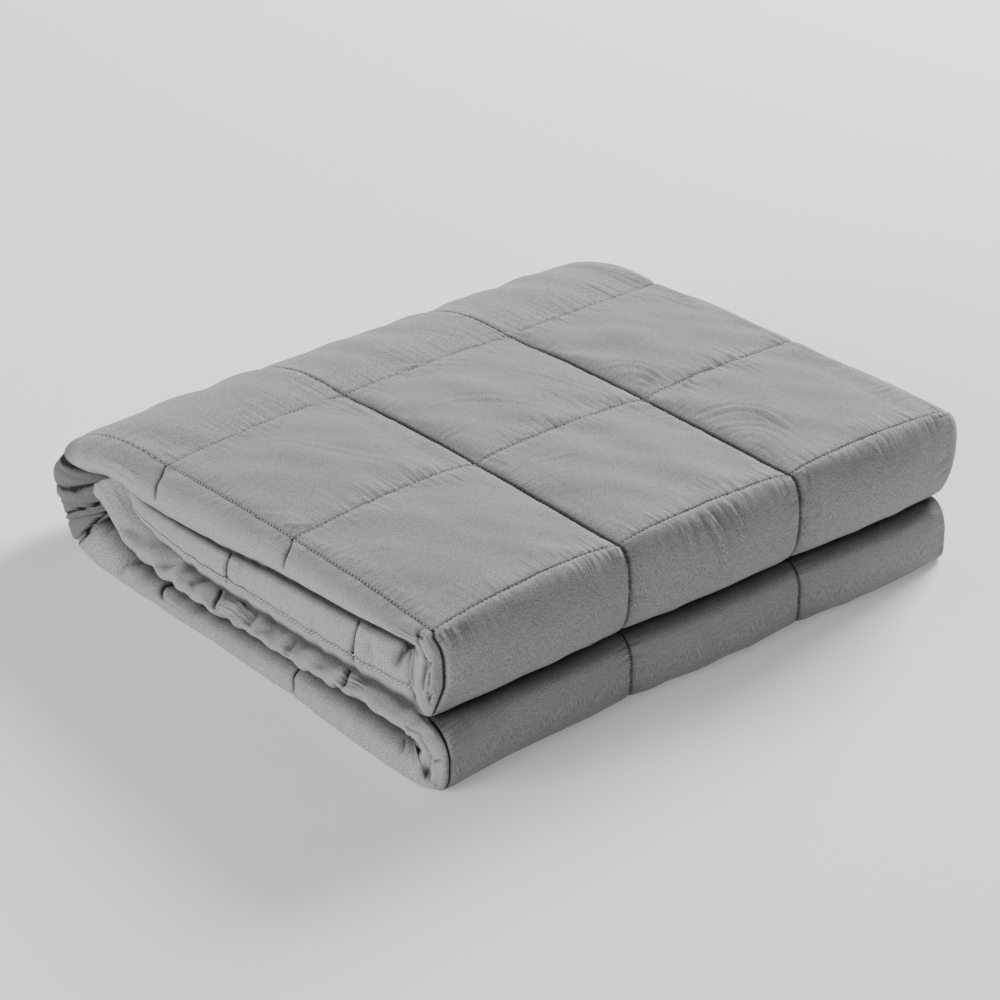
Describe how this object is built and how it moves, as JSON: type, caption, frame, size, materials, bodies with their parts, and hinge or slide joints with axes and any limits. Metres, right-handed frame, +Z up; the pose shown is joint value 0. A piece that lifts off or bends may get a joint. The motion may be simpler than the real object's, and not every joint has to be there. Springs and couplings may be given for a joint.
{
  "type": "folded weighted blanket",
  "caption": "Quilted weighted blanket folded into a flat pack, with two rounded folds at the front, one wide turn at the back and rolled folds along both sides.",
  "frame": {"origin": "middle of the pack's footprint, on the surface that it lies on", "axes": "+X along the two front folds, +Y from the front folds to the turn at the back, +Z up"},
  "size_m": [0.4054, 0.3808, 0.0968],
  "materials": {
    "cloth": "matte"
  },
  "bodies": {
    "root": {"blanket": "cloth"}
  },
  "joints": []
}
